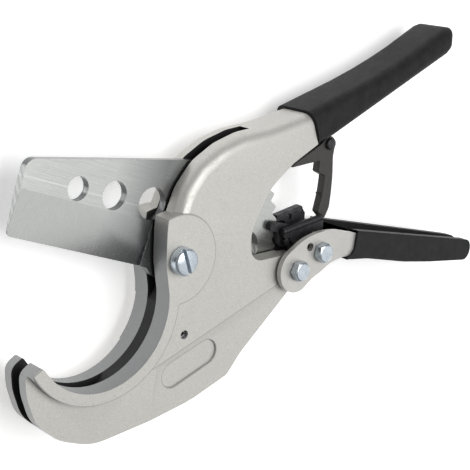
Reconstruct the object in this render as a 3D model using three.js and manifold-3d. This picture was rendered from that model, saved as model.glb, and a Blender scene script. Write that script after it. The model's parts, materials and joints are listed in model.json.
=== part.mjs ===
// Ratcheting pipe cutter, lying on its side.
// Millimetres. X runs from the jaws to the handles, Y from the hook to the upper handle,
// and Z is the axis of every pivot. The outlines are drawn in the plane of the blade,
// with its middle at z = 0, and the finished tool is moved so that it rests on z = 0.

import * as THREE from 'three';
import { mergeVertices } from 'three/addons/utils/BufferGeometryUtils.js';
import Module from 'manifold-3d';

const wasm = await Module();
wasm.setup();

// ---------------------------------------------------------------- driving dimensions

const GAP = 0.3;                       // between touching pieces

const JAW_CENTRE = [-60.5, -31.3];     // pipe seat
const JAW_RADIUS = 31.2;
const BLADE_PIVOT = [-27.2, -10.2];
const LEVER_PIVOT = [37.4, -14.8];
const DRIVE_PIVOT = [50.2, -6.8];      // drive pawl on the lever
const LATCH_PIVOT = [55.3, 39.4];

const FRAME_HALF = 10.6;               // middle of the tool to the main face
const BOSS_RAISE = 0.6;                // pivot boss and jaw rim above the main face
const BOSS_RADIUS = 18.5;
const RIM_WIDTH = 5.0;
const TOP_FILLET = 5.0;
const HOOK_STEP = 0.4;                 // hook face below the main face
const HOOK_TAPER = 3.0;                // further drop at the hook tip
const ARM_RADIUS = 6.6;                // frame round the lever pivot
const LUG_RADIUS = 3.6;

const BLADE_THICKNESS = 3.5;
const BLADE_SIDE_GAP = 1.0;
const BLADE_TRAVEL = 70;               // degrees from open to closed
const BEVEL_WIDTH = 18.3;
const BEVEL_ROOT = [-39.5, -14.85];    // where the cutting edge starts
const EDGE_ANGLE = 10.6;               // fall of the cutting edge towards the pivot, degrees
const EDGE_THICKNESS = 0.5;
const BLADE_HOLES = [[-74.2, 15.3, 4.7], [-56.9, 13.1, 5.7], [-38.0, 10.3, 6.6], [16.5, -7.5, 7.0]];
const ROOT_RADIUS = 10.2;
const TOOTH_TIP_RADIUS = 61.3;
const TOOTH_DEPTH = 2.3;
const TOOTH_PITCH = 5.6;               // degrees
const TOOTH_TOP_ANGLE = 36.2;          // first tooth tip, degrees
const TOOTH_COUNT = 18;

const SCREW_RADIUS = 4.0;              // blade pivot screw
const SCREW_HEAD_RADIUS = 5.7;
const SCREW_HEAD_HEIGHT = 4.2;
const SCREW_SLOT_WIDTH = 1.5;
const SCREW_SLOT_ANGLE = 117;          // degrees
const BUSH_WALL = 1.7;
const PIVOT_NUT_FLATS = 13;
const PIVOT_NUT_HEIGHT = 5;

const BOLT_RADIUS = 2.5;               // lever and drive pawl bolts
const BOLT_HEAD_FLATS = 8;
const BOLT_HEAD_HEIGHT = 3.4;
const WASHER_THICKNESS = 0.7;

const LEVER_WALL = 2.3;
const LEVER_EAR_RADIUS = 10;
const LEVER_END_X = 168.6;
const LEVER_END_HALF = 6.0;            // half width at the handle end
const LEVER_TAPER_X = 68;              // where the walls start to close in
const LEVER_SKIN = 0.9;                // dipped grip on the steel
const LEVER_GRIP_X = 71.5;

const GRIP_HALF = 12;
const GRIP_WALL = 2.0;
const GRIP_ROUND = 5;
const GRIP_LENGTH = 95;
const GRIP_END_ROUND = 6;
const GRIP_LEAN = 3.5;                 // the end face leans out at its top
const TANG_SHORT = 8;                  // tang ends this far inside the grip

const PAWL_PLATE = 2.15;               // inner plates of the drive pawl
const PAWL_CHEEK = 2.3;                // outer cheeks with a rolled top
const PAWL_ROLL = 1.5;
const PAWL_PIN_RADIUS = 1.5;
const PAWL_PIN_ANGLE = 5.6;            // about the blade pivot, degrees
const PAWL_PIN_CLEAR = 0.7;
const HOLD_THICKNESS = 3.2;
const LATCH_THICKNESS = 4.0;
const HOLD_SWING = 8;                  // degrees the hold pawl lifts away from the teeth
const WIRE = 0.9;

// ------------------------------------------------------------------ derived dimensions

const BLADE_HALF = BLADE_THICKNESS / 2;
const SLOT_HALF = BLADE_HALF + BLADE_SIDE_GAP;
const BOSS_HALF = FRAME_HALF + BOSS_RAISE;
const SWEEP_RADIUS = TOOTH_TIP_RADIUS + 1.3;
const WASHER_Z = FRAME_HALF + GAP;
const LEVER_INNER = WASHER_Z + WASHER_THICKNESS + GAP;
const LEVER_OUTER = LEVER_INNER + LEVER_WALL;
const PLATE_Z = BLADE_HALF + GAP + 0.1;
const CHEEK_Z = PLATE_Z + PAWL_PLATE + GAP;
const CHEEK_OUTER = CHEEK_Z + PAWL_CHEEK;
const PIN_ORBIT = TOOTH_TIP_RADIUS + PAWL_PIN_RADIUS + PAWL_PIN_CLEAR;

// -------------------------------------------------------------------------- materials

const finish = (color, roughness, metalness) => () =>
  new THREE.MeshStandardMaterial({ color, roughness, metalness });
const CASTING = finish('#cdcac1', 0.45, 0.6);
const BLADE_STEEL = finish('#c6c7c4', 0.3, 0.9);
const ZINC = finish('#b9c6cf', 0.25, 0.9);
const PRESSED_STEEL = finish('#c9c7bf', 0.4, 0.7);
const BLACK_VINYL = finish('#2b2b2d', 0.7, 0.0);
const BLACK_STEEL = finish('#3a3a3d', 0.5, 0.5);
const BLACK_NYLON = finish('#34332f', 0.6, 0.0);
const BRONZE = finish('#a98345', 0.4, 0.8);
const SPRING_WIRE = finish('#8d9094', 0.35, 0.9);

// --------------------------------------------------------------------- drawing helpers

const rad = (degrees) => degrees * Math.PI / 180;

function polar([x, y], radius, degrees) {
  return [x + radius * Math.cos(rad(degrees)), y + radius * Math.sin(rad(degrees))];
}

// Points of an arc, ends included, one every few degrees.
function arc(centre, radius, from, to, step = 6) {
  const count = Math.max(1, Math.ceil(Math.abs(to - from) / step - 1e-6));
  return Array.from({ length: count + 1 }, (_, i) => polar(centre, radius, from + (to - from) * i / count));
}

// A closed outline from corner points [x, y, radius], each corner rounded by its radius.
function rounded(corners, step = 9) {
  const points = [];
  corners.forEach(([x, y, radius = 0], i) => {
    if (!radius) {
      points.push([x, y]);
      return;
    }
    const here = new THREE.Vector2(x, y);
    const before = new THREE.Vector2(...corners.at(i - 1).slice(0, 2)).sub(here);
    const after = new THREE.Vector2(...corners[(i + 1) % corners.length].slice(0, 2)).sub(here);
    const half = Math.acos(before.dot(after) / before.length() / after.length()) / 2;
    const reach = Math.min(radius / Math.tan(half), before.length() * 0.49, after.length() * 0.49);
    const size = reach * Math.tan(half);
    const middle = before.clone().normalize().add(after.clone().normalize()).normalize()
      .multiplyScalar(size / Math.sin(half)).add(here);
    const first = before.clone().setLength(reach).add(here).sub(middle);
    const last = after.clone().setLength(reach).add(here).sub(middle);
    const turn = Math.atan2(first.cross(last), first.dot(last)) * 180 / Math.PI;
    const start = first.angle() * 180 / Math.PI;
    points.push(...arc([middle.x, middle.y], size, start, start + turn, step));
  });
  return points;
}

// The outline moved outwards by a distance, with mitred corners. Counter-clockwise points.
function offset(points, distance) {
  return points.map(([x, y], i) => {
    const [ax, ay] = points.at(i - 1);
    const [bx, by] = points[(i + 1) % points.length];
    const a = new THREE.Vector2(y - ay, ax - x).normalize();
    const b = new THREE.Vector2(by - y, x - bx).normalize();
    const mitre = a.clone().add(b).normalize();
    const length = distance / Math.max(0.4, mitre.dot(a));
    return [x + mitre.x * length, y + mitre.y * length];
  });
}

const shape = (points) => new THREE.Shape(points.map(([x, y]) => new THREE.Vector2(x, y)));

// A solid with an outline in X and Y, from one height to another.
function prism(points, z0, z1) {
  const geometry = new THREE.ExtrudeGeometry(shape(points), { depth: z1 - z0, bevelEnabled: false });
  return solid(geometry.translate(0, 0, z0));
}

// The same, centred on z = 0, with its outer edges rounded.
function softPrism(points, half, round, segments = 5) {
  const options = {
    depth: 2 * (half - round),
    bevelThickness: round,
    bevelSize: round,
    bevelOffset: -round,
    bevelSegments: segments,
  };
  const geometry = new THREE.ExtrudeGeometry(shape(points), options);
  return solid(geometry.translate(0, 0, round - half));
}

// A solid with an outline in X and Z, from one y to another.
function plan(points, y0, y1) {
  const geometry = new THREE.ExtrudeGeometry(shape(points), { depth: y1 - y0, bevelEnabled: false });
  return solid(geometry.rotateX(Math.PI / 2).translate(0, y1, 0));
}

// A solid through a row of rings of points, closed by a flat face at each end.
function loft(rings) {
  const sides = rings[0].length;
  const index = [];
  rings.slice(1).forEach((_, r) => {
    for (let i = 0; i < sides; i += 1) {
      const [a, b] = [r * sides + i, r * sides + (i + 1) % sides];
      index.push(a, b, b + sides, a, b + sides, a + sides);
    }
  });
  const last = (rings.length - 1) * sides;
  for (let i = 1; i < sides - 1; i += 1) {
    index.push(0, i + 1, i, last, last + i, last + i + 1);
  }
  const geometry = new THREE.BufferGeometry();
  geometry.setAttribute('position', new THREE.Float32BufferAttribute(rings.flat(2), 3));
  geometry.setIndex(index);
  return solid(geometry);
}

function cylinder(centre, radius, z0, z1, sides = 32) {
  const geometry = new THREE.CylinderGeometry(radius, radius, z1 - z0, sides).rotateX(Math.PI / 2);
  return solid(geometry.translate(centre[0], centre[1], (z0 + z1) / 2));
}

const tube = (centre, outer, inner, z0, z1, sides = 32) =>
  cylinder(centre, outer, z0, z1, sides).subtract(cylinder(centre, inner, z0 - 1, z1 + 1, sides));

function hexagon(centre, flats, z0, z1, turn = 0) {
  const corners = Array.from({ length: 6 }, (_, i) => polar(centre, flats / Math.sqrt(3), turn + 60 * i));
  return prism(corners, z0, z1);
}

function solid(geometry) {
  geometry.deleteAttribute('normal');
  geometry.deleteAttribute('uv');
  const merged = mergeVertices(geometry, 1e-5);
  return new wasm.Manifold(new wasm.Mesh({
    numProp: 3,
    vertProperties: new Float32Array(merged.attributes.position.array),
    triVerts: new Uint32Array(merged.index.array),
  }));
}

function mesh(name, material, body) {
  const { vertProperties, triVerts } = body.getMesh();
  const geometry = new THREE.BufferGeometry();
  geometry.setAttribute('position', new THREE.BufferAttribute(vertProperties, 3));
  geometry.setIndex(new THREE.BufferAttribute(triVerts, 1));
  geometry.computeVertexNormals();
  const piece = new THREE.Mesh(geometry, material());
  piece.name = name;
  return piece;
}

const join = (...bodies) => bodies.reduce((all, body) => all.add(body));

// ------------------------------------------------------------------------------ frame

const throatTop = [-36.3, 6];
const gripAxis = 32;                   // lie of the upper handle, degrees
const gripEdge = gripAxis + 87;        // lie of the sleeve's mouth
const gripStart = [40.6, 39.6];        // lower corner of the casting where the grip starts

const seat = (from, to, extra = 0) => arc(JAW_CENTRE, JAW_RADIUS + extra, from, to, 4);

// Outside of the hook, as distances outside the pipe seat.
const hookOutside = [
  [-142.6, 0.1, 3.6], [-142, 6.3, 4.6], [-131.5, 10.7, 18], [-117.5, 16.7, 16],
  [-102.8, 20.0, 20], [-85, 22.5, 24], [-55.2, 24.4, 40],
].map(([angle, wall, radius]) => [...polar(JAW_CENTRE, JAW_RADIUS + wall, angle), radius]);

// The frame in the blade's plane, left oversize along the top, where the envelope trims it.
const frameOutline = rounded([
  ...hookOutside,
  [-9, -70.3, 30],
  [9.3, -60.8, 5],
  [15.2, -51.4, 8],
  [36.9, -26.4, 4],
  [LEVER_PIVOT[0] + ARM_RADIUS + 0.4, LEVER_PIVOT[1] - 2.5, 6],
  [LEVER_PIVOT[0] + ARM_RADIUS - 3.6, LEVER_PIVOT[1] + ARM_RADIUS, 5],
  [LEVER_PIVOT[0] - 5, LEVER_PIVOT[1] + ARM_RADIUS - 0.6, 3],
  [12.3, -12.1, 9],
  [9.7, 1, 12],
  [13.6, 12.6, 30],
  [17.6, 20.8, 20],
  [28, 31, 8],
  gripStart,
  polar(gripStart, 22, gripEdge),
  [5, 50],
  [-16, 42],
  [-32, 30],
  [throatTop[0] - 1, 20],
  [throatTop[0], 10],
  [throatTop[0] + 0.1, 2, 20],
  [-34.1, -12, 30],
  ...seat(14, -138),
]);

// True outline along the top, closed far outside the frame everywhere else.
const envelope = rounded([
  [-31.9, throatTop[1], 0],
  [-29.0, 17.6, 14],
  [-22.6, 28.0, 16],
  [-12.5, 35.9, 20],
  [-1.5, 41.0, 20],
  [14, 44.9, 30],
  [36, 52.6, 0],
  [160, 104, 0],
  [160, -130, 0],
  [-150, -130, 0],
  [-150, throatTop[1], 0],
]);

// Lower and upper edge of the grip, as [distance along it, height across it].
const gripBelow = [[-12, 0.7], [0, -0.7], [10, -1.9], [140, -2.0]];
const gripAbove = [[-12, 16.7], [3, 14.9], [17, 13.1], [33, 11.2], [47, 10], [59, 9.4], [70, 9.3], [84, 9.9],
  [95, 10.4], [140, 10.4]];

function along(profile, s) {
  const i = profile.findIndex(([at]) => at > s);
  const [[s0, w0], [s1, w1]] = [profile[i - 1], profile[i]];
  return w0 + (w1 - w0) * (s - s0) / (s1 - s0);
}

// The grip or, with its sides brought in, the tang and its pocket: rounded sections along the handle.
function gripBody(inset, end, endRound) {
  const stations = [-10, 0, 5, 10, 17, 25, 33, 40, 47, 53, 59, 65, 70, 77, 84]
    .filter((s) => s < end - endRound - 3);
  const closing = endRound
    ? [0, 25, 45, 62, 76, 86].map((a) => end - endRound + endRound * Math.sin(rad(a)))
    : [end];
  return loft([...stations, ...closing].map((s) => {
    const into = Math.max(0, s - (end - endRound));
    const shrink = inset + (endRound ? endRound - Math.sqrt(endRound ** 2 - into ** 2) : 0);
    const [low, high] = [along(gripBelow, s) + shrink, along(gripAbove, s) - shrink];
    const half = GRIP_HALF - shrink;
    const round = Math.min(Math.max(GRIP_ROUND - shrink, 1.2), (high - low) / 2 - 0.1);
    const lean = GRIP_LEAN * Math.max(0, (s - 50) / (end - 50));
    const corners = [[low, -half], [high, -half], [high, half], [low, half]].map(([w, z]) => [w, z, round]);
    return rounded(corners, 15).map(([w, z]) => {
      const [x, y] = polar(polar(gripStart, s + lean * (w - low) / (high - low), gripAxis), w, gripAxis + 90);
      return [x, y, z];
    });
  }));
}

// Everything on the handle side of a line across the upper handle, at a distance from its start.
function handleSide(distance) {
  const start = polar(polar(gripStart, distance, gripAxis), 40, gripEdge + 180);
  const end = polar(start, 90, gripEdge);
  return [start, polar(start, 140, gripAxis), polar(end, 140, gripAxis), end];
}

const lugOutline = (grow) => [
  [46.4 - grow, 50], [48.2 - grow, 43.4 - grow],
  ...arc(LATCH_PIVOT, LUG_RADIUS + grow, 215, 390, 10),
  [61 + grow, 57],
];
const LUG_TOP = -0.7;
const LUG_BOTTOM = LUG_TOP - 3.7;

// The blade, its teeth and its sweep need a slot between the two cheeks.
function bladeSlot() {
  const closedEdge = 169.4 + BLADE_TRAVEL;
  const beyond = (along, across) => polar(polar(BLADE_PIVOT, along, closedEdge), across, closedEdge + 90);
  const z = SLOT_HALF;
  return join(
    prism([
      polar(BLADE_PIVOT, ROOT_RADIUS + 2, -88),
      ...arc(BLADE_PIVOT, SWEEP_RADIUS, -63.5, 178, 4),
      BLADE_PIVOT,
    ], -z, z),
    prism([BLADE_PIVOT, ...arc(BLADE_PIVOT, 78.6, 150, closedEdge, 4)], -z, z),
    prism([beyond(-4, 0), beyond(76.5, 0), beyond(76.5, 8), beyond(-4, 8)], -z, z),
    prism([[-60, -56], [-100, -45], [-100, -76.4], [-80, -76.4], [-66.4, -78.6]], -z, z),
    cylinder(BLADE_PIVOT, ROOT_RADIUS + 2, -z, z),
  );
}

// The hook face steps down from the main face and thins towards the tip. Only the near side keeps a rim.
function hookRelief(side) {
  const region = [
    [-120, -30], [-120, -120], [60, -120], [60, -6.3],
    ...arc(JAW_CENTRE, JAW_RADIUS + (side > 0 ? RIM_WIDTH : -3), -44, -136, 4),
  ];
  const top = FRAME_HALF - HOOK_STEP;
  const tip = top - HOOK_TAPER * 90 / 60;
  const profile = [[-120, tip], [-30, top], [80, top], [80, 30], [-120, 30]];
  const wedge = side > 0 ? profile : profile.map(([x, z]) => [x, -z]).reverse();
  return plan(wedge, -130, 10).intersect(prism(region, side > 0 ? 0 : -30, side > 0 ? 30 : 0));
}

function badgeRecess(side) {
  const [width, length, tilt, depth] = [11, 29.5, 27.5, 0.9];
  const centre = [-12.8, -54.2];
  const reach = (length - width) / 2;
  const outline = [
    ...arc(polar(centre, reach, tilt), width / 2, tilt - 90, tilt + 90, 9),
    ...arc(polar(centre, -reach, tilt), width / 2, tilt + 90, tilt + 270, 9),
  ];
  const floor = FRAME_HALF - HOOK_STEP - depth;
  return side > 0 ? prism(outline, floor, floor + 5) : prism(outline, -floor - 5, -floor);
}

const ROLL_PIN = [-18.5, -41.5];
const ROLL_PIN_RADIUS = 1.6;

function frameCasting() {
  const main = prism(frameOutline, -FRAME_HALF, FRAME_HALF)
    .intersect(softPrism(envelope, FRAME_HALF, TOP_FILLET, 6))
    .subtract(hookRelief(1))
    .subtract(hookRelief(-1));
  const rim = prism([
    ...seat(14, -142, -2),
    ...seat(-142, 14, RIM_WIDTH),
  ].reverse(), 0, BOSS_HALF);
  const raised = cylinder(BLADE_PIVOT, BOSS_RADIUS, -BOSS_HALF, BOSS_HALF, 72)
    .add(rim)
    .intersect(prism(frameOutline, -BOSS_HALF - 1, BOSS_HALF + 1));
  const tang = gripBody(GRIP_WALL + GAP, GRIP_LENGTH - TANG_SHORT, 0);
  const pocket = join(
    cylinder(LEVER_PIVOT, 6.1, -POCKET_HALF, POCKET_HALF, 40),
    prism([[33, -15], [43.2, -15], [45.5, -4], [33, -4]], -POCKET_HALF, POCKET_HALF),
  );
  return join(main, raised, tang, prism(lugOutline(0), LUG_BOTTOM, LUG_TOP))
    .subtract(bladeSlot())
    .subtract(pocket)
    .subtract(cylinder(BLADE_PIVOT, SCREW_RADIUS + GAP, -30, 30, 40))
    .subtract(cylinder(LEVER_PIVOT, BOLT_RADIUS + GAP, -30, 30, 32))
    .subtract(cylinder(LATCH_PIVOT, 1.6 + GAP, -30, 30, 24))
    .subtract(cylinder(ROLL_PIN, ROLL_PIN_RADIUS + GAP, -30, 30, 24))
    .subtract(badgeRecess(1))
    .subtract(badgeRecess(-1));
}

function upperGrip() {
  return gripBody(0, GRIP_LENGTH, GRIP_END_ROUND)
    .intersect(prism(handleSide(GAP), -30, 30))
    .subtract(gripBody(GRIP_WALL, GRIP_LENGTH - TANG_SHORT + 2 * GAP, 0))
    .subtract(prism(lugOutline(GAP), LUG_BOTTOM - GAP, LUG_TOP + GAP));
}

function rollPin() {
  const slit = [[ROLL_PIN[0], ROLL_PIN[1] - 0.3], [ROLL_PIN[0] + 3, ROLL_PIN[1] - 0.3],
    [ROLL_PIN[0] + 3, ROLL_PIN[1] + 0.3], [ROLL_PIN[0], ROLL_PIN[1] + 0.3]];
  return tube(ROLL_PIN, ROLL_PIN_RADIUS, ROLL_PIN_RADIUS - 0.7, -9.2, 9.2, 24)
    .subtract(prism(slit, -20, 20));
}

function slottedScrew() {
  const top = BOSS_HALF + GAP + SCREW_HEAD_HEIGHT;
  const profile = [
    [0, -BOSS_HALF - PIVOT_NUT_HEIGHT - 1.6],
    [SCREW_RADIUS - 0.6, -BOSS_HALF - PIVOT_NUT_HEIGHT - 1.6],
    [SCREW_RADIUS, -BOSS_HALF - PIVOT_NUT_HEIGHT - 1],
    [SCREW_RADIUS, BOSS_HALF + GAP],
    [SCREW_HEAD_RADIUS, BOSS_HALF + GAP],
    [SCREW_HEAD_RADIUS, top - 0.9],
    [SCREW_HEAD_RADIUS - 0.35, top - 0.3],
    [SCREW_HEAD_RADIUS - 0.9, top],
    [0, top],
  ].map(([r, z]) => new THREE.Vector2(r, z));
  const body = new THREE.LatheGeometry(profile, 48).rotateX(Math.PI / 2);
  const [half, lie] = [SCREW_SLOT_WIDTH / 2, SCREW_SLOT_ANGLE];
  const slot = [[-9, -half], [9, -half], [9, half], [-9, half]]
    .map(([along, across]) => polar(polar(BLADE_PIVOT, along, lie), across, lie + 90));
  return solid(body.translate(...BLADE_PIVOT, 0)).subtract(prism(slot, top - 1.6, top + 1));
}

function nut(centre, flats, z0, z1, bore, turn) {
  const height = z1 - z0;
  const cone = [[0, 0], [flats / 2 - 0.1, 0], [flats / 2 + 0.9, 0.9], [flats / 2 + 0.9, height], [0, height]]
    .map(([r, z]) => new THREE.Vector2(r, z));
  const blunt = new THREE.LatheGeometry(cone, 40).rotateX(Math.PI / 2).translate(...centre, z0);
  return hexagon(centre, flats, z0, z1, turn)
    .intersect(solid(blunt))
    .subtract(cylinder(centre, bore, z0 - 1, z1 + 1, 32));
}

// -------------------------------------------------------------------------------- blade

// One tooth: a long ramp up to a rounded tip, then a short steep flank, going downwards.
function toothRadius(u) {
  const tip = 0.64;
  const swell = u < tip
    ? (1 - Math.cos(Math.PI * u / tip)) / 2
    : (1 + Math.cos(Math.PI * (u - tip) / (1 - tip))) / 2;
  return TOOTH_TIP_RADIUS - TOOTH_DEPTH * (1 - swell);
}

function bladePlate() {
  const steps = 9;
  const topAngle = TOOTH_TOP_ANGLE + 0.64 * TOOTH_PITCH;
  const teeth = Array.from({ length: TOOTH_COUNT * steps + 1 }, (_, i) =>
    polar(BLADE_PIVOT, toothRadius((i % steps) / steps), topAngle - TOOTH_PITCH * i / steps)).reverse();
  const outline = [
    ...rounded([
      [-16, 28.5],
      [-97.6, 25.7, 4.6],
      [-101.9, -2.9, 2.4],
      [-36.6, -15.4],
    ]),
    ...arc(BLADE_PIVOT, ROOT_RADIUS, 212, 282, 8),
    ...teeth,
  ];
  const bush = SCREW_RADIUS + GAP + BUSH_WALL + GAP;
  const plate = prism(outline, -BLADE_HALF, BLADE_HALF)
    .subtract(cylinder(BLADE_PIVOT, bush, -9, 9, 40));
  return BLADE_HOLES.reduce((body, [x, y, r]) => body.subtract(cylinder([x, y], r, -9, 9, 40)), plate)
    .subtract(bevel(1))
    .subtract(bevel(-1));
}

// The ground face: a wedge off one side, from the bevel line down to the cutting edge.
function bevel(side) {
  const slope = (BLADE_HALF - EDGE_THICKNESS / 2) / BEVEL_WIDTH;
  const low = EDGE_THICKNESS / 2;
  const at = (v) => [v, low + v * slope];
  const section = [at(-6), at(BEVEL_WIDTH + 6), [BEVEL_WIDTH + 6, 9], [-6, 9]];
  const wedge = side > 0 ? section : section.map(([v, z]) => [v, -z]).reverse();
  const geometry = new THREE.ExtrudeGeometry(shape(wedge), { depth: 80, bevelEnabled: false });
  // the section's X across the edge, its Y along Z, extruded from beyond the tip to the root
  const slant = rad(EDGE_ANGLE);
  const across = new THREE.Vector3(Math.sin(slant), Math.cos(slant), 0);
  const along = new THREE.Vector3(Math.cos(slant), -Math.sin(slant), 0);
  const basis = new THREE.Matrix4().makeBasis(across, new THREE.Vector3(0, 0, 1), along);
  basis.setPosition(BEVEL_ROOT[0] - 80 * along.x, BEVEL_ROOT[1] - 80 * along.y, 0);
  return solid(geometry.applyMatrix4(basis));
}

// -------------------------------------------------------------------------------- lever

// Side of the lever, counter-clockwise from the top of the round ear.
const leverOutline = rounded([
  ...arc(LEVER_PIVOT, LEVER_EAR_RADIUS, 128, 300, 6),
  [47.4, -18.7, 0.6],
  [52.4, -15.6, 10],
  [57.6, -11.7, 14],
  [66, -9.0, 14],
  [82, -9.0, 30],
  [112, -11.6, 30],
  [135, -12.4, 0],
  [LEVER_END_X, -12.6, 8],
  [LEVER_END_X, -4.7, 4],
  [122, -1.6, 0],
  [72, 1.6, 20],
  [58, 3.0, 20],
  [48, 2.3, 20],
  [38.5, -1.2, 20],
]);

// Half the lever's width along its length.
const leverWidth = (grow) => {
  const [wide, narrow] = [LEVER_OUTER + grow, LEVER_END_HALF + grow];
  return [
    [0, -wide], [LEVER_TAPER_X, -wide], [LEVER_END_X, -narrow], [LEVER_END_X + 12, -narrow + 1],
    [LEVER_END_X + 12, narrow - 1], [LEVER_END_X, narrow], [LEVER_TAPER_X, wide], [0, wide],
  ];
};

// The space inside the channel: open upwards, at both ends, and below at the ears.
const leverSpace = (grow) => offset([
  [0, 60], [0, -60],
  [47.4, -60],
  [47.4, -18.7 + LEVER_WALL],
  [52.4, -15.6 + LEVER_WALL + 0.3],
  [57.6, -11.7 + LEVER_WALL + 0.2],
  [66, -9.0 + LEVER_WALL],
  [82, -9.0 + LEVER_WALL],
  [112, -11.6 + LEVER_WALL],
  [135, -12.4 + LEVER_WALL],
  [220, -13 + LEVER_WALL],
  [220, 60],
], grow);

function channel(grow) {
  return prism(offset(leverOutline, grow), -30, 30)
    .intersect(plan(leverWidth(grow), -60, 60))
    .subtract(prism(leverSpace(-grow), -30, 30).intersect(plan(leverWidth(-LEVER_WALL - grow), -80, 80)));
}

const springHole = [42.9, -4.6];

function leverChannel() {
  return channel(0)
    .subtract(cylinder(LEVER_PIVOT, BOLT_RADIUS + GAP, -30, 30))
    .subtract(cylinder(DRIVE_PIVOT, BOLT_RADIUS + GAP, -30, 30))
    .subtract(cylinder(springHole, 1.9, -30, 30, 28));
}

function leverGrip() {
  const covered = [
    [LEVER_GRIP_X, 12], [LEVER_GRIP_X, -5.6], [LEVER_GRIP_X - 1.4, -7.8], [LEVER_GRIP_X - 4.4, -9.4],
    [LEVER_GRIP_X - 5.6, -15], [LEVER_END_X + 20, -30], [LEVER_END_X + 20, 12],
  ];
  return channel(LEVER_SKIN + GAP)
    .intersect(prism(covered, -30, 30))
    .subtract(channel(GAP));
}

function hexBolt(centre, turn) {
  const top = LEVER_OUTER + GAP;
  const cone = [
    [0, top], [BOLT_HEAD_FLATS / 2 + 1, top], [BOLT_HEAD_FLATS / 2 + 1, top + BOLT_HEAD_HEIGHT - 0.9],
    [BOLT_HEAD_FLATS / 2 - 0.5, top + BOLT_HEAD_HEIGHT], [0, top + BOLT_HEAD_HEIGHT],
  ].map(([r, z]) => new THREE.Vector2(r, z));
  const blunt = new THREE.LatheGeometry(cone, 40).rotateX(Math.PI / 2).translate(...centre, 0);
  return hexagon(centre, BOLT_HEAD_FLATS, top, top + BOLT_HEAD_HEIGHT, turn)
    .intersect(solid(blunt))
    .add(cylinder(centre, BOLT_RADIUS, -LEVER_OUTER - 4.6, top + 0.5));
}

const boltNut = (centre, turn) =>
  nut(centre, BOLT_HEAD_FLATS, -LEVER_OUTER - GAP - 3.6, -LEVER_OUTER - GAP, BOLT_RADIUS + GAP, turn);

// --------------------------------------------------------------------------- drive pawl

const pawlPin = polar(BLADE_PIVOT, PIN_ORBIT, PAWL_PIN_ANGLE);
const pawlRivet = [DRIVE_PIVOT[0] + 3.6, DRIVE_PIVOT[1] + 5.0];
const RIVET_RADIUS = 1.3;

// Inner plate: a finger that reaches past the teeth, the pin's eye, and the pivot's eye.
const pawlPlateOutline = rounded([
  [26.8, 3.8, 1.7],
  [26.8, -0.1, 1.7],
  [31.8, -0.3, 2],
  [pawlPin[0] - 3, pawlPin[1] - 2.6, 2.2],
  [pawlPin[0] + 3, pawlPin[1] - 2.9, 3],
  [DRIVE_PIVOT[0] - 4.6, DRIVE_PIVOT[1] - 4.4, 4],
  [DRIVE_PIVOT[0] + 4.4, DRIVE_PIVOT[1] - 4.4, 4],
  [DRIVE_PIVOT[0] + 5.6, DRIVE_PIVOT[1] + 1, 3],
  [DRIVE_PIVOT[0] + 6.2, DRIVE_PIVOT[1] + 7.4, 2],
  [DRIVE_PIVOT[0] + 1.4, DRIVE_PIVOT[1] + 8.2, 2],
  [42, 2.6, 6],
  [31.5, 3.9, 4],
]);

// Outer cheek: its top edge is rolled over, and its lower edge drops to the pivot.
const cheekTop = [[33.4, 0.4], [54.6, 6.8]];
const cheekOutline = rounded([
  [31.9, 0.6, 0.6],
  [33.6, -2.4, 1],
  [DRIVE_PIVOT[0] - 8.6, DRIVE_PIVOT[1] + 1.6, 5],
  [DRIVE_PIVOT[0] - 4.4, DRIVE_PIVOT[1] - 4.8, 3.4],
  [DRIVE_PIVOT[0] + 4.2, DRIVE_PIVOT[1] - 4.6, 3.4],
  [DRIVE_PIVOT[0] + 5.4, DRIVE_PIVOT[1] + 1.0, 3],
  [57.0, 1.8, 1],
  [56.0, 7.4, 0.8],
]);

function pawlPlate(side) {
  const [z0, z1] = side > 0 ? [PLATE_Z, PLATE_Z + PAWL_PLATE] : [-PLATE_Z - PAWL_PLATE, -PLATE_Z];
  return prism(pawlPlateOutline, z0, z1)
    .subtract(cylinder(pawlPin, PAWL_PIN_RADIUS + GAP, -30, 30, 24))
    .subtract(cylinder(pawlRivet, RIVET_RADIUS + GAP, -30, 30, 24))
    .subtract(cylinder(DRIVE_PIVOT, BOLT_RADIUS + GAP, -30, 30));
}

function pawlCheek(side) {
  const [z0, z1] = side > 0 ? [CHEEK_Z, CHEEK_OUTER] : [-CHEEK_OUTER, -CHEEK_Z];
  const [[x0, y0], [x1, y1]] = cheekTop;
  const length = Math.hypot(x1 - x0, y1 - y0) + 1.6;
  const roll = new THREE.CylinderGeometry(PAWL_ROLL, PAWL_ROLL, length, 24);
  roll.rotateZ(Math.atan2(y1 - y0, x1 - x0) - Math.PI / 2);
  roll.translate((x0 + x1) / 2, (y0 + y1) / 2, side * (CHEEK_Z + PAWL_ROLL));
  return prism(cheekOutline, z0, z1)
    .add(solid(roll))
    .subtract(cylinder(pawlPin, PAWL_PIN_RADIUS + GAP, -30, 30, 24))
    .subtract(cylinder(pawlRivet, RIVET_RADIUS + GAP, -30, 30, 24))
    .subtract(cylinder(DRIVE_PIVOT, BOLT_RADIUS + GAP, -30, 30));
}

// ---------------------------------------------------------------------------- hold pawl

const POCKET_HALF = BLADE_HALF + 1.7 * WIRE + 2 * GAP;

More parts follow.
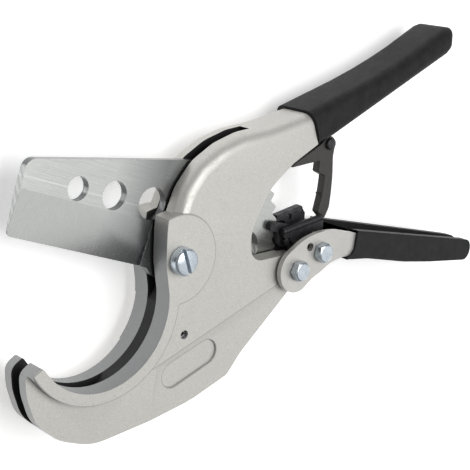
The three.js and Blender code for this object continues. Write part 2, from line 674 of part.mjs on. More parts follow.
const holdOutline = rounded([
  [31.6, 6.1, 0.5],
  [32.9, 4.2, 0.5],
  [37.8, 4.1, 0.8],
  [38.6, -4.5, 4],
  [LEVER_PIVOT[0] - 3.6, LEVER_PIVOT[1] + 3.6, 3],
  [LEVER_PIVOT[0] - 5.2, LEVER_PIVOT[1] - 5.2, 5],
  [LEVER_PIVOT[0] + 5.2, LEVER_PIVOT[1] - 5.2, 5],
  [LEVER_PIVOT[0] + 5.2, LEVER_PIVOT[1] + 4.6, 4],
  [41.6, -5.0, 4],
  [41.8, 2.9, 1.6],
  [46.4, 4.4, 0.8],
  [47.1, 7.6, 0.5],
  [47.8, 9.9, 1.2],
  [46.5, 11.1, 0.7],
]);

// The pivot's eye is open on the blade's side, where the teeth leave no room for a wall.
function holdPawl() {
  const eye = new THREE.Vector2(...LEVER_PIVOT);
  const turned = new THREE.Vector2(...BLADE_PIVOT).rotateAround(eye, rad(HOLD_SWING));
  const clear = TOOTH_TIP_RADIUS + 0.5;
  const mouth = [[-6, -2], [0, -2], [0, 2], [-6, 2]].map(([x, y]) => [eye.x + x, eye.y + y]);
  const notch = [
    [38.1, 6.1], [39.9, 6.6], [39.9, 4.8], [41.4, 5.0], [41.4, 7.1], [49, 9.3], [49, 10.1], [38, 6.9],
  ];
  return prism(holdOutline, -HOLD_THICKNESS / 2, HOLD_THICKNESS / 2)
    .subtract(prism(notch, -9, 9))
    .subtract(cylinder(BLADE_PIVOT, clear, -9, 9, 180))
    .subtract(cylinder([turned.x, turned.y], clear, -9, 9, 180))
    .subtract(prism(mouth, -9, 9))
    .subtract(cylinder(LEVER_PIVOT, BOLT_RADIUS + GAP, -30, 30));
}

// A torsion spring: turns about a pivot, with a straight leg leaving each end.
function torsionSpring(centre, radius, z0, turns, from, legs) {
  const steps = Math.round(turns * 16);
  const lift = (i) => z0 + (WIRE + 0.15) * turns * i / steps;
  const coil = Array.from({ length: steps + 1 }, (_, i) =>
    new THREE.Vector3(...polar(centre, radius, from + 360 * turns * i / steps), lift(i)));
  const to = from + 360 * turns;
  const start = [...polar(coil[0].toArray(), legs[0], from - 90), z0];
  const end = [...polar(coil.at(-1).toArray(), legs[1], to + 90), lift(steps)];
  const path = new THREE.CatmullRomCurve3([new THREE.Vector3(...start), ...coil, new THREE.Vector3(...end)]);
  const ring = shape(arc([0, 0], WIRE / 2, 0, 315, 45));
  return solid(new THREE.ExtrudeGeometry(ring, { steps: steps * 2 + 8, extrudePath: path }));
}

// -------------------------------------------------------------------------------- latch

const latchOutline = rounded([
  [32.9, 27.4, 0.4],
  [49.4, 31.1, 0.4],
  [51.2, 31.2, 0.6],
  [51.5, 26.4, 0.9],
  [56.1, 24.9, 0.5],
  [56.5, 17.2, 0],
  [55.6, 16.9, 0],
  [56.4, 16.2, 0],
  [55.7, 8.6, 0.8],
  [60.3, 5.4, 1],
  [62.4, 11, 6],
  [62.0, 18, 30],
  [61.0, 26, 30],
  [59.2, 34, 8],
  [LATCH_PIVOT[0] + 4.1, LATCH_PIVOT[1] + 1.5, 3.2],
  [LATCH_PIVOT[0] - 0.2, LATCH_PIVOT[1] + 4.2, 3],
  [LATCH_PIVOT[0] - 4.6, LATCH_PIVOT[1] - 0.4, 5],
]);
const LATCH_Z = LUG_TOP + GAP;
const LATCH_TOP = LATCH_Z + LATCH_THICKNESS;

const latchArm = () => prism(latchOutline, LATCH_Z, LATCH_TOP)
  .subtract(cylinder(LATCH_PIVOT, 1.6 + GAP, -30, 30, 24));

function latchPin() {
  const profile = [
    [0, LUG_BOTTOM - 1.2], [1.2, LUG_BOTTOM - 1.2], [1.6, LUG_BOTTOM - 0.8], [1.6, LATCH_TOP + GAP],
    [2.7, LATCH_TOP + GAP], [2.7, LATCH_TOP + GAP + 0.9], [2.2, LATCH_TOP + GAP + 1.4],
    [0, LATCH_TOP + GAP + 1.4],
  ].map(([r, z]) => new THREE.Vector2(r, z));
  return solid(new THREE.LatheGeometry(profile, 28).rotateX(Math.PI / 2).translate(...LATCH_PIVOT, 0));
}

// ----------------------------------------------------------------------------- assembly

const washer = (centre, z0, z1) => tube(centre, 4.6, BOLT_RADIUS + GAP, z0, z1);
const spacer = (z0, z1) => tube(DRIVE_PIVOT, BOLT_RADIUS + GAP + 0.8, BOLT_RADIUS + GAP, z0, z1);
const pin = (centre, radius, half) => cylinder(centre, radius, -half, half, 24);
const bushRadius = SCREW_RADIUS + GAP + BUSH_WALL;
const farBoss = -BOSS_HALF - GAP;

const tool = new THREE.Group();
tool.add(
  mesh('frame_casting', CASTING, frameCasting()),
  mesh('upper_grip', BLACK_VINYL, upperGrip()),
  mesh('frame_roll_pin', SPRING_WIRE, rollPin()),
  mesh('blade_pivot_screw', ZINC, slottedScrew()),
  mesh('blade_pivot_nut', ZINC,
    nut(BLADE_PIVOT, PIVOT_NUT_FLATS, farBoss - PIVOT_NUT_HEIGHT, farBoss, SCREW_RADIUS + GAP, 10)),
  mesh('blade', BLADE_STEEL, bladePlate()),
  mesh('blade_pivot_bush', BRONZE,
    tube(BLADE_PIVOT, bushRadius, SCREW_RADIUS + GAP, -SLOT_HALF + GAP, SLOT_HALF - GAP)),
  mesh('lever_channel', PRESSED_STEEL, leverChannel()),
  mesh('lever_grip', BLACK_VINYL, leverGrip()),
  mesh('lever_pivot_bolt', ZINC, hexBolt(LEVER_PIVOT, 12)),
  mesh('lever_pivot_nut', ZINC, boltNut(LEVER_PIVOT, 20)),
  mesh('lever_washer_near', BRONZE, washer(LEVER_PIVOT, WASHER_Z, WASHER_Z + WASHER_THICKNESS)),
  mesh('lever_washer_far', BRONZE, washer(LEVER_PIVOT, -WASHER_Z - WASHER_THICKNESS, -WASHER_Z)),
  mesh('drive_pawl_bolt', ZINC, hexBolt(DRIVE_PIVOT, 24)),
  mesh('drive_pawl_nut', ZINC, boltNut(DRIVE_PIVOT, 5)),
  mesh('drive_spacer_near', BRONZE, spacer(CHEEK_OUTER + GAP, LEVER_INNER - GAP)),
  mesh('drive_spacer_far', BRONZE, spacer(-LEVER_INNER + GAP, -CHEEK_OUTER - GAP)),
  mesh('drive_pawl_spring', SPRING_WIRE,
    torsionSpring(DRIVE_PIVOT, BOLT_RADIUS + 2.3, CHEEK_OUTER + 0.9, 2.6, 200, [6, 7])),
  mesh('drive_pawl_plate_near', BLACK_STEEL, pawlPlate(1)),
  mesh('drive_pawl_plate_far', BLACK_STEEL, pawlPlate(-1)),
  mesh('drive_pawl_cheek_near', BLACK_STEEL, pawlCheek(1)),
  mesh('drive_pawl_cheek_far', BLACK_STEEL, pawlCheek(-1)),
  mesh('drive_pawl_cross_pin', BLACK_STEEL, pin(pawlPin, PAWL_PIN_RADIUS, CHEEK_OUTER - 0.2)),
  mesh('drive_pawl_rivet', BLACK_STEEL, pin(pawlRivet, RIVET_RADIUS, CHEEK_OUTER + 0.3)),
  mesh('hold_pawl', BLACK_STEEL, holdPawl()),
  mesh('hold_pawl_spring', SPRING_WIRE,
    torsionSpring(LEVER_PIVOT, BOLT_RADIUS + 1.4, BLADE_HALF + GAP + WIRE / 2, 0.6, 210, [1.2, 5])),
  mesh('latch_arm', BLACK_NYLON, latchArm()),
  mesh('latch_pin', BLACK_STEEL, latchPin()),
);

const box = new THREE.Box3().setFromObject(tool);
const middle = box.getCenter(new THREE.Vector3());
tool.position.set(-middle.x, -middle.y, -box.min.z);
tool.updateMatrixWorld(true);

export default tool;
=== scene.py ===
"""Looks of the ratcheting pipe cutter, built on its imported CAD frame. Metres."""

import json
import math

import bmesh
import bpy
from mathutils import Matrix, Vector


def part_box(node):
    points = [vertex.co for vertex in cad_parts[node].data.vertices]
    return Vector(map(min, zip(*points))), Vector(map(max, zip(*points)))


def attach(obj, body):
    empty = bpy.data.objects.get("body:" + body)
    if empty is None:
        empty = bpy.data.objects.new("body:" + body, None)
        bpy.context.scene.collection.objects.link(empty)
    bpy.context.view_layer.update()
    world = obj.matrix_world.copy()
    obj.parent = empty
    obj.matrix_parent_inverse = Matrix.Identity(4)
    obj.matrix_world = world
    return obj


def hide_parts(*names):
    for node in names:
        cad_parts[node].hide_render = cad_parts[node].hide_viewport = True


MM = 0.001

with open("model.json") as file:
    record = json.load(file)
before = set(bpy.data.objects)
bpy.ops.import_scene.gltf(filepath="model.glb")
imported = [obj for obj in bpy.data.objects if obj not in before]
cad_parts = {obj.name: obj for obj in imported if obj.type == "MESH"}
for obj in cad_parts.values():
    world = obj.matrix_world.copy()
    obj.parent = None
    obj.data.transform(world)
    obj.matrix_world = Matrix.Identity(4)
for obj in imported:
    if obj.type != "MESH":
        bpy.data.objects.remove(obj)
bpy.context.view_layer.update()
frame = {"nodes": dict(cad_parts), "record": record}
nodes = frame["nodes"]
bodies = frame["record"]["behaviour"]["bodies"]
slot_of = {part["node"]: part["material_slot"] for part in frame["record"]["subparts"]}
body_of = {node: body for body, members in bodies.items() for node in members}


def middle(node):
    low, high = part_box(node)
    return (low + high) / 2


# Landmarks for the materials: points in metres, and lengths in millimetres. Radii, heights and
# places are from the blade's pivot and plane, unless a name or a note says otherwise.
PIVOT = middle("blade_pivot_screw")
PIVOT.z = middle("blade").z
SLOT_HALF = 2.85               # just past the slot's walls
SWEEP_RADIUS = 62.8            # just past the slot's floor
BOSS_RADIUS = 18.5             # raised disc round the blade's pivot
FACE_HEIGHT = 6.0              # the outer faces start above this height
JAW_CENTRE = PIVOT + Vector((-33.3, -21.1, 0)) * MM
RIM_RADIUS = 36.2              # outer edge of the raised rim round the pipe seat
SEAT_REACH = (42.0, 50.0)      # the painted shade on the seat's walls fades out between these distances from its centre
TIP_START = (-12.0, -20.0)     # the painted shade on the hook tip's walls fades in between these places across the jaw
STEP_START = PIVOT + Vector((-7.3, -46.2, 0)) * MM
STEP_LIE = 27.9                # degrees; the hook's face steps down below this line
RECESS_CENTRE = PIVOT + Vector((14.4, -44.0, 0)) * MM
RECESS_LIE = 27.5              # degrees
RECESS_REACH = 9.25            # half the straight length of the recess
RECESS_RADIUS = 5.5
STEP_SHADE_WIDTH = 0.5            # half width of the painted shade at the foot of a step
BLADE_LIE = 10.6               # degrees; the blade's length runs along this line
BEVEL_LINE = 16.0              # height of the blade's bevel line across its cutting edge
BEVEL_TILT = (0.9995, 0.9975)  # how level the ground bevel is, against 1 for the flat
ROOT_START = (-36.0, -12.0)    # painted shade darkens the blade's root along this stretch of its length
ROOT_END = (5.0, 20.0)         # and is bright again after this one
END_FACING = (-0.98, 0.15, 0)  # way that the blade's narrow end looks
HATCH_LIE = 20                 # degrees

# ---------------------------------------------------------------------------- materials


class Shader:
    """A material's node tree, built with short calls. Lengths are in millimetres of the object."""

    def __init__(self, name):
        self.material = bpy.data.materials.new(name)
        self.material.use_nodes = True
        self.tree = self.material.node_tree
        self.surface = self.tree.nodes["Principled BSDF"]
        self.place = self.add("ShaderNodeTexCoord").outputs["Object"]

    def add(self, kind, **settings):
        made = self.tree.nodes.new(kind)
        for key, value in settings.items():
            setattr(made, key, value)
        return made

    def link(self, value, socket):
        if isinstance(value, bpy.types.NodeSocket):
            self.tree.links.new(value, socket)
        else:
            socket.default_value = value

    def set(self, **values):
        for key, value in values.items():
            self.link(value, self.surface.inputs[key.replace("_", " ")])

    def mapped(self, turn=0.0, stretch=(1, 1, 1), about=(0, 0, 0)):
        """Object coordinates in millimetres, turned about Z and then stretched."""
        shift = self.add("ShaderNodeVectorMath", operation="SUBTRACT")
        self.link(self.place, shift.inputs[0])
        shift.inputs[1].default_value = about
        spun = self.add("ShaderNodeVectorRotate", rotation_type="Z_AXIS")
        self.link(shift.outputs[0], spun.inputs["Vector"])
        spun.inputs["Angle"].default_value = math.radians(turn)
        scaled = self.add("ShaderNodeVectorMath", operation="MULTIPLY")
        self.link(spun.outputs[0], scaled.inputs[0])
        scaled.inputs[1].default_value = [s / MM for s in stretch]
        return scaled.outputs[0]

    def noise(self, where, size, detail=3.0, rough=0.5):
        """Noise with features of a given size, from 0 to 1."""
        made = self.add("ShaderNodeTexNoise")
        self.link(where, made.inputs["Vector"])
        made.inputs["Scale"].default_value = 1 / size
        made.inputs["Detail"].default_value = detail
        made.inputs["Roughness"].default_value = rough
        return made.outputs[0]

    def flakes(self, where, size):
        """A random value for each small cell."""
        made = self.add("ShaderNodeTexVoronoi", feature="F1")
        self.link(where, made.inputs["Vector"])
        made.inputs["Scale"].default_value = 1 / size
        channels = self.add("ShaderNodeSeparateColor")
        self.link(made.outputs["Color"], channels.inputs[0])
        return channels.outputs[0]

    def range(self, value, low, high, out_low, out_high):
        made = self.add("ShaderNodeMapRange")
        self.link(value, made.inputs["Value"])
        ends = {"From Min": low, "From Max": high, "To Min": out_low, "To Max": out_high}
        for key, number in ends.items():
            made.inputs[key].default_value = number
        return made.outputs[0]

    def math(self, operation, a, b=0.5):
        made = self.add("ShaderNodeMath", operation=operation)
        self.link(a, made.inputs[0])
        self.link(b, made.inputs[1])
        return made.outputs[0]

    def times(self, a, b):
        return self.math("MULTIPLY", a, b)

    def larger(self, a, b):
        return self.math("MAXIMUM", a, b)

    def absolute(self, value):
        return self.math("ABSOLUTE", value)

    def above(self, value, limit):
        return self.math("GREATER_THAN", value, limit)

    def length(self, x, y):
        squares = self.math("ADD", self.math("POWER", x, 2.0), self.math("POWER", y, 2.0))
        return self.math("SQRT", squares)

    def band(self, distance, at, half_width):
        """1 where a distance equals a value, falling to 0 over a half width."""
        away = self.absolute(self.math("SUBTRACT", distance, at))
        return self.range(away, half_width * 0.4, half_width, 1.0, 0.0)

    def mix(self, share, a, b):
        made = self.add("ShaderNodeMix", data_type="RGBA", blend_type="MIX")
        self.link(share, made.inputs["Factor"])
        for value, key in ((a, "A"), (b, "B")):
            socket = next(s for s in made.inputs if s.name == key and s.type == "RGBA")
            self.link(value if isinstance(value, bpy.types.NodeSocket) else (*value, 1.0), socket)
        return next(s for s in made.outputs if s.type == "RGBA")

    def mix_value(self, share, a, b):
        made = self.add("ShaderNodeMix", data_type="FLOAT")
        self.link(share, made.inputs["Factor"])
        self.link(a, made.inputs[2])
        self.link(b, made.inputs[3])
        return made.outputs[0]

    def split(self, vector):
        made = self.add("ShaderNodeSeparateXYZ")
        self.link(vector, made.inputs[0])
        return made.outputs

    def normal(self):
        """The surface's direction, in the object's own axes."""
        return self.split(self.add("ShaderNodeTexCoord").outputs["Normal"])

    def painted_throat_shade(self):
        """1 where shade is painted on the walls that face the pipe and round the hook's tip, 0
        elsewhere.
        """
        u, v, _ = self.split(self.mapped(about=JAW_CENTRE))
        across, up, upright = self.normal()
        wall_shade = self.range(self.absolute(upright), 0.6, 0.3, 0.0, 1.0)
        tip = self.times(wall_shade, self.range(u, *TIP_START, 0.0, 0.7))
        distance = self.length(u, v)
        outward = self.math("ADD", self.times(u, across), self.times(v, up))
        inward = self.math("DIVIDE", outward, self.times(distance, -1.0))
        near = self.range(distance, *SEAT_REACH, 1.0, 0.0)
        seat = self.times(self.range(inward, 0.5, 0.8, 0.0, 0.8), near)
        return self.larger(seat, tip)

    def painted_slot_shade(self):
        """1 on the walls of the blade's slot in the casting, where near-black shade is painted, 0 on
        its outside.
        """
        x, y, z = self.split(self.mapped(about=PIVOT))
        near_plane = self.math("LESS_THAN", self.absolute(z), SLOT_HALF)
        in_sweep = self.math("LESS_THAN", self.length(x, y), SWEEP_RADIUS)
        level = self.above(self.absolute(self.normal()[2]), 0.5)
        return self.times(near_plane, self.larger(in_sweep, level))

    def painted_step_shade(self):
        """Painted shade at the foot of the pivot boss and the jaw's rim, by the hook's step and the
        recess.
        """
        x, y, z = self.split(self.mapped(about=PIVOT))
        from_pivot = self.length(x, y)
        u, v, _ = self.split(self.mapped(about=JAW_CENTRE))
        from_seat = self.length(u, v)
        boss = self.band(from_pivot, BOSS_RADIUS, STEP_SHADE_WIDTH)
        boss = self.times(boss, self.above(from_seat, RIM_RADIUS))
        rim = self.band(from_seat, RIM_RADIUS, STEP_SHADE_WIDTH)
        rim = self.times(rim, self.above(from_pivot, BOSS_RADIUS))
        rim = self.times(rim, self.above(z, 0.0))
        along, beside, _ = self.split(self.mapped(turn=-RECESS_LIE, about=RECESS_CENTRE))
        beyond = self.larger(self.math("SUBTRACT", self.absolute(along), RECESS_REACH), 0.0)
        recess = self.band(self.length(beyond, beside), RECESS_RADIUS, STEP_SHADE_WIDTH * 0.9)
        past, over, _ = self.split(self.mapped(turn=-STEP_LIE, about=STEP_START))
        step = self.times(self.band(over, 0.0, STEP_SHADE_WIDTH * 0.9), self.above(past, 0.0))
        marks = self.larger(self.larger(boss, rim), self.larger(recess, step))
        outer = self.above(self.absolute(z), FACE_HEIGHT)
        facing_out = self.above(self.absolute(self.normal()[2]), 0.3)
        return self.times(self.times(marks, self.times(outer, facing_out)), 0.55)

    def bump(self, height, depth, before=None):
        """Raises the surface by height times a depth in millimetres."""
        made = self.add("ShaderNodeBump")
        made.inputs["Strength"].default_value = 1.0
        made.inputs["Distance"].default_value = depth * MM
        self.link(height, made.inputs["Height"])
        if before is not None:
            self.link(before, made.inputs["Normal"])
        return made.outputs[0]

    def facing(self, direction, start, end):
        """1 where the surface faces a direction of the object, 0 where it doesn't."""
        coordinates = self.add("ShaderNodeTexCoord")
        dot = self.add("ShaderNodeVectorMath", operation="DOT_PRODUCT")
        self.link(coordinates.outputs["Normal"], dot.inputs[0])
        dot.inputs[1].default_value = direction
        return self.range(dot.outputs["Value"], start, end, 0.0, 1.0)


def cast_silver():
    """Silver powder coat with flakes, over a slightly uneven casting."""
    s = Shader("cast_silver")
    where = s.mapped()
    cloud = s.noise(where, 24, 3)
    fine = s.noise(where, 0.55, 3, 0.6)
    flake = s.flakes(where, 0.36)
    tone = s.mix(s.range(fine, 0.3, 0.7, 0.0, 1.0), (0.53, 0.52, 0.49), (0.60, 0.59, 0.555))
    tone = s.mix(s.range(cloud, 0.3, 0.7, 0.0, 0.2), tone, (0.50, 0.49, 0.46))
    tone = s.mix(s.range(flake, 0.92, 1.0, 0.0, 0.30), tone, (0.80, 0.80, 0.78))
    tone = s.mix(s.range(flake, 0.12, 0.0, 0.0, 0.30), tone, (0.30, 0.30, 0.29))
    # painted shade: dark lines at the foot of the boss, the rim, the hook's step and the recess
    tone = s.mix(s.painted_step_shade(), tone, (0.22, 0.22, 0.21))
    # painted shade on the walls of the throat and round the hook's tip
    tone = s.mix(s.painted_throat_shade(), tone, (0.22, 0.23, 0.24))
    # painted shade: the slot's walls are made near black, and duller
    slot = s.painted_slot_shade()
    tone = s.mix(slot, tone, (0.012, 0.012, 0.012))
    s.set(Base_Color=tone)
    s.set(Metallic=s.range(slot, 0.0, 1.0, 0.5, 0.1))
    s.set(Roughness=s.mix_value(slot, s.range(flake, 0.0, 1.0, 0.54, 0.40), 0.7))
    s.set(Normal=s.bump(fine, 0.028, s.bump(cloud, 0.10)))
    return s.material


def blade_steel():
    """Ground steel: long marks on the flat, cross marks on the bevel, a hatched end face."""
    s = Shader("blade_steel")
    flat = s.mapped(BLADE_LIE, (0.02, 1.0, 1.0), PIVOT)
    cross = s.mapped(BLADE_LIE, (1.0, 0.03, 1.0), PIVOT)
    along = s.noise(flat, 0.35, 4, 0.6)
    ground = s.noise(cross, 0.3, 4, 0.6)
    tilt = s.absolute(s.normal()[2])
    on_bevel = s.range(tilt, *BEVEL_TILT, 0.0, 1.0)
    mark = s.mix_value(on_bevel, along, ground)
    end = s.facing(END_FACING, 0.94, 0.985)
    hatch = s.add("ShaderNodeTexWave", wave_type="BANDS", bands_direction="DIAGONAL")
    s.link(s.mapped(HATCH_LIE), hatch.inputs["Vector"])
    hatch.inputs["Scale"].default_value = 0.2
    hatch.inputs["Distortion"].default_value = 1.2
    tone = s.mix(s.range(mark, 0.3, 0.7, 0.0, 1.0), (0.50, 0.51, 0.50), (0.58, 0.59, 0.575))
    tone = s.mix(s.times(on_bevel, 0.30), tone, (0.44, 0.45, 0.45))
    x, y, _ = s.split(s.mapped(BLADE_LIE, about=PIVOT))
    # painted highlight: a bright line along the edge of the bevel
    line = s.band(y, BEVEL_LINE, 0.5)
    tone = s.mix(s.times(line, 0.35), tone, (0.80, 0.80, 0.79))
    # painted shade on the blade's root, next to the casting
    root = s.times(s.range(x, *ROOT_START, 0.0, 0.85), s.range(x, *ROOT_END, 1.0, 0.0))
    tone = s.mix(root, tone, (0.16, 0.165, 0.17))
    # painted shade: the blade's thin side walls are made near black
    wall_shade = s.range(tilt, 0.55, 0.35, 0.0, 1.0)
    wall_shade = s.times(wall_shade, s.math("SUBTRACT", 1.0, end))
    tone = s.mix(s.times(wall_shade, 0.85), tone, (0.10, 0.10, 0.105))
    ridges = s.times(end, s.range(hatch.outputs[1], 0.35, 0.65, 0.0, 0.7))
    tone = s.mix(ridges, tone, (0.36, 0.365, 0.37))
    s.set(Base_Color=tone, Metallic=0.95)
    s.set(Roughness=s.range(mark, 0.2, 0.8, 0.20, 0.30))
    groove = s.times(end, hatch.outputs[1])
    s.set(Normal=s.bump(groove, 0.12, s.bump(mark, 0.008)))
    return s.material


def plated(name, light, dark, rough):
    """Bright plated or drawn metal with a faint cloud and fine turning marks."""
    s = Shader(name)
    where = s.mapped()
    cloud = s.noise(where, 2.6, 3)
    fine = s.noise(s.mapped(0, (1, 1, 5)), 0.3, 2)
    tone = s.mix(s.range(cloud, 0.3, 0.7, 0.0, 1.0), dark, light)
    s.set(Base_Color=tone, Metallic=0.9)
    s.set(Roughness=s.range(fine, 0.2, 0.8, rough - 0.06, rough + 0.08))
    s.set(Normal=s.bump(fine, 0.012))
    return s.material


def pressed_steel():
    """Satin silver on pressed sheet, with a fine grain and faint drawing marks."""
    s = Shader("pressed_steel")
    where = s.mapped()
    grain = s.noise(where, 0.4, 3, 0.6)
    drawn = s.noise(s.mapped(0, (0.06, 1, 1)), 0.7, 3)
    cloud = s.noise(where, 9, 2)
    tone = s.mix(s.range(grain, 0.3, 0.7, 0.0, 1.0), (0.52, 0.51, 0.48), (0.63, 0.62, 0.59))
    tone = s.mix(s.range(cloud, 0.35, 0.7, 0.0, 0.35), tone, (0.46, 0.455, 0.44))
    s.set(Base_Color=tone, Metallic=0.6)
    s.set(Roughness=s.range(drawn, 0.2, 0.8, 0.34, 0.46))
    s.set(Normal=s.bump(drawn, 0.015, s.bump(grain, 0.02)))
    return s.material


def black_vinyl():
    """Thick dipped vinyl: soft grain, slow waves in the skin, a faint dull bloom."""
    s = Shader("black_vinyl")
    where = s.mapped()
    grain = s.noise(where, 0.5, 4, 0.65)
    wave = s.noise(where, 9, 2)
    bloom = s.noise(where, 5, 4, 0.6)
    tone = s.mix(s.range(bloom, 0.35, 0.7, 0.0, 1.0), (0.010, 0.010, 0.011), (0.018, 0.018, 0.019))
    s.set(Base_Color=tone, Metallic=0.0)
    s.set(Roughness=s.range(grain, 0.3, 0.7, 0.48, 0.66))
    s.surface.inputs["Specular IOR Level"].default_value = 0.2
    s.set(Normal=s.bump(grain, 0.10, s.bump(wave, 0.15)))
    return s.material


def black_steel():
    """Black oxide with rubbed lighter patches."""
    s = Shader("black_steel")
    where = s.mapped()
    rub = s.noise(where, 2.4, 4, 0.65)
    grain = s.noise(where, 0.4, 3)
    tone = s.mix(s.range(rub, 0.5, 0.8, 0.0, 1.0), (0.030, 0.030, 0.033), (0.075, 0.075, 0.08))
    s.set(Base_Color=tone, Metallic=0.5)
    s.set(Roughness=s.range(rub, 0.3, 0.8, 0.48, 0.34))
    s.set(Normal=s.bump(grain, 0.02))
    return s.material


def black_nylon():
    """Moulded glass-filled nylon with a matte, slightly mottled skin."""
    s = Shader("black_nylon")
    where = s.mapped()
    mottle = s.noise(where, 1.6, 4, 0.6)
    grain = s.noise(where, 0.35, 2)
    tone = s.mix(s.range(mottle, 0.3, 0.75, 0.0, 1.0), (0.022, 0.021, 0.019), (0.042, 0.040, 0.036))
    s.set(Base_Color=tone, Metallic=0.0)
    s.set(Roughness=s.range(mottle, 0.3, 0.7, 0.42, 0.58))
    s.set(Normal=s.bump(grain, 0.03))
    return s.material


MATERIALS = {
    "cast_silver": cast_silver(),
    "blade_steel": blade_steel(),
    "zinc_plate": plated("zinc_plate", (0.62, 0.68, 0.73), (0.50, 0.56, 0.62), 0.26),
    "pressed_steel": pressed_steel(),
    "black_vinyl": black_vinyl(),
    "black_steel": black_steel(),
    "black_nylon": black_nylon(),
    "bronze": plated("bronze", (0.55, 0.40, 0.20), (0.42, 0.29, 0.13), 0.36),
    "spring_steel": plated("spring_steel", (0.50, 0.51, 0.53), (0.38, 0.39, 0.41), 0.3),
}

# ------------------------------------------------------------------------------- pieces

SHARP_ANGLE = math.radians(34)
FLAT_ANGLE = math.radians(0.6)
EDGE_SEGMENTS = 3
WELD = 0.002 * MM


def refined(node, width):
    """The node's own shape with its flats made whole and its edges softly rounded."""
    mesh = bpy.data.meshes.new(node + "_fine")
    bm = bmesh.new()
    bm.from_mesh(nodes[node].data)
    bmesh.ops.remove_doubles(bm, verts=bm.verts, dist=WELD)
    bmesh.ops.dissolve_limit(
        bm, angle_limit=FLAT_ANGLE, use_dissolve_boundaries=False,
        verts=bm.verts, edges=bm.edges,
    )
    bmesh.ops.recalc_face_normals(bm, faces=bm.faces)
    for face in bm.faces:
        face.smooth = True
    bm.to_mesh(mesh)
    bm.free()
    mesh.set_sharp_from_angle(angle=SHARP_ANGLE)
    mesh.materials.append(MATERIALS[slot_of[node]])
    piece = bpy.data.objects.new(node + "_fine", mesh)
    bpy.context.scene.collection.objects.link(piece)
    if width:
        bevel = piece.modifiers.new("edges", "BEVEL")
        bevel.width = width * MM
        bevel.segments = EDGE_SEGMENTS
        bevel.limit_method = "ANGLE"
        bevel.angle_limit = SHARP_ANGLE
        bevel.harden_normals = True
        bevel.miter_outer = "MITER_SHARP"
    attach(piece, body_of[node])
    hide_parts(node)


# Width of the rounded edges, in millimetres. A spring's wire is round already.
EDGE_WIDTHS = {
    "frame_casting": 0.45,
    "upper_grip": 0.3,
    "frame_roll_pin": 0.15,
    "blade_pivot_screw": 0.2,
    "blade_pivot_nut": 0.25,
    "lever_pivot_bolt": 0.25,
    "lever_pivot_nut": 0.25,
    "lever_washer_near": 0.12,
    "lever_washer_far": 0.12,
    "latch_pin": 0.2,
    "hold_pawl_spring": 0,
    "blade": 0.12,
    "blade_pivot_bush": 0.2,
    "lever_channel": 0.5,
    "lever_grip": 0.35,
    "drive_pawl_bolt": 0.25,
    "drive_pawl_nut": 0.25,
    "drive_spacer_near": 0.15,
    "drive_spacer_far": 0.15,
    "drive_pawl_spring": 0,
    "drive_pawl_plate_near": 0.25,
    "drive_pawl_plate_far": 0.25,
    "drive_pawl_cheek_near": 0.3,
    "drive_pawl_cheek_far": 0.3,
    "drive_pawl_cross_pin": 0.25,
    "drive_pawl_rivet": 0.3,
    "hold_pawl": 0.3,
    "latch_arm": 0.35,
}

for name, width in EDGE_WIDTHS.items():
    refined(name, width)

# --------------------------------------------------------------------- floor and lights

FLOOR_GLOW = 0.38              # a faintly lit table keeps the shadows pale
FLOOR_HALF = 6.0
FLOOR_DROP = 0.0005            # the table lies just under the tool
HORIZON_GLOW = 0.85
OVERHEAD_GLOW = 0.18
GLOW_HEIGHT = 0.3              # the horizon's glow has faded at this height of a unit sphere
WHITE = (1.0, 1.0, 1.0, 1.0)


def floor_material():
    s = Shader("pale_floor")
    where = s.mapped()
    cloud = s.noise(where, 90, 3)
    grain = s.noise(where, 1.5, 2)
    patches = s.range(cloud, 0.3, 0.7, 0.0, 1.0)
    s.set(Base_Color=s.mix(patches, (0.87, 0.87, 0.87), (0.90, 0.90, 0.90)))
    s.set(Roughness=0.85)
    s.surface.inputs["Emission Color"].default_value = WHITE
    s.surface.inputs["Emission Strength"].default_value = FLOOR_GLOW
    s.set(Normal=s.bump(grain, 0.02))
    return s.material


floor_mesh = bpy.data.meshes.new("floor")
corners = [(x * FLOOR_HALF, y * FLOOR_HALF, 0) for x, y in ((-1, -1), (1, -1), (1, 1), (-1, 1))]
floor_mesh.from_pydata(corners, [], [(0, 1, 2, 3)])
floor_mesh.materials.append(floor_material())
floor = bpy.data.objects.new("floor", floor_mesh)
floor.location.z = -FLOOR_DROP
bpy.context.scene.collection.objects.link(floor)

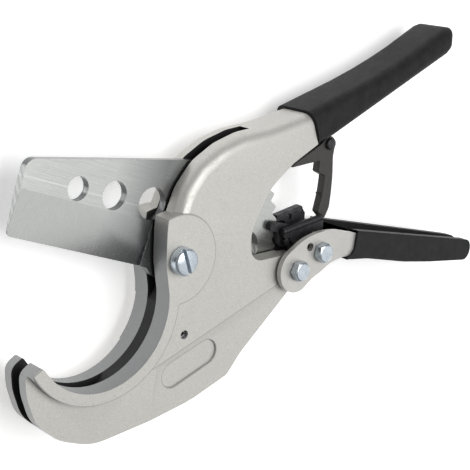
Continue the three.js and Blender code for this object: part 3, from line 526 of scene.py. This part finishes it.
world = bpy.data.worlds.new("studio")
world.use_nodes = True
sky = world.node_tree.nodes
height = sky.new("ShaderNodeSeparateXYZ")
fade = sky.new("ShaderNodeMapRange")
fade.inputs["From Min"].default_value = 0.0
fade.inputs["From Max"].default_value = GLOW_HEIGHT
fade.inputs["To Min"].default_value = HORIZON_GLOW
fade.inputs["To Max"].default_value = OVERHEAD_GLOW
world.node_tree.links.new(sky.new("ShaderNodeTexCoord").outputs["Generated"], height.inputs[0])
world.node_tree.links.new(height.outputs[2], fade.inputs["Value"])
world.node_tree.links.new(fade.outputs[0], sky["Background"].inputs["Strength"])
sky["Background"].inputs["Color"].default_value = WHITE
bpy.context.scene.world = world


def soft_light(name, place, side, power):
    """A square panel that looks at the tool, which lies round the origin."""
    light = bpy.data.lights.new(name, "AREA")
    light.shape = "RECTANGLE"
    light.size = light.size_y = side
    light.energy = power
    lamp = bpy.data.objects.new(name, light)
    bpy.context.scene.collection.objects.link(lamp)
    lamp.location = place
    towards_tool = Vector((0, 0, 0)) - Vector(place)
    lamp.rotation_euler = towards_tool.to_track_quat("-Z", "Y").to_euler()


soft_light("overhead", place=(0.0, 0.30, 1.25), side=1.0, power=13.5)
soft_light("side_panel", place=(1.05, -0.25, 1.07), side=1.5, power=5.5)

# White stays white, without a film curve.
bpy.context.scene.view_settings.view_transform = "Standard"

# ------------------------------------------------------------------------------- camera

FOCAL_PER_WIDTH = 1200 / 470
SENSOR_WIDTH = 36
CAMERA_PLACE = PIVOT + Vector((-0.3087, 0.0929, 0.3571))
CAMERA_RIGHT = Vector((0.7270, 0.1596, 0.6678))
CAMERA_UP = Vector((0, 0.9726, -0.2325))
CAMERA_BACK = Vector((-0.6866, 0.1690, 0.7071))

camera_data = bpy.data.cameras.new("camera")
camera_data.sensor_width = SENSOR_WIDTH
camera_data.lens = SENSOR_WIDTH * FOCAL_PER_WIDTH
camera_data.clip_start = 0.01
camera_data.clip_end = 50
camera = bpy.data.objects.new("camera", camera_data)
bpy.context.scene.collection.objects.link(camera)
turn = Matrix((CAMERA_RIGHT, CAMERA_UP, CAMERA_BACK)).transposed().to_4x4()
camera.matrix_world = Matrix.Translation(CAMERA_PLACE) @ turn
bpy.context.scene.camera = camera

# --------------------------------------------------------------------------------- update

bpy.context.view_layer.update()
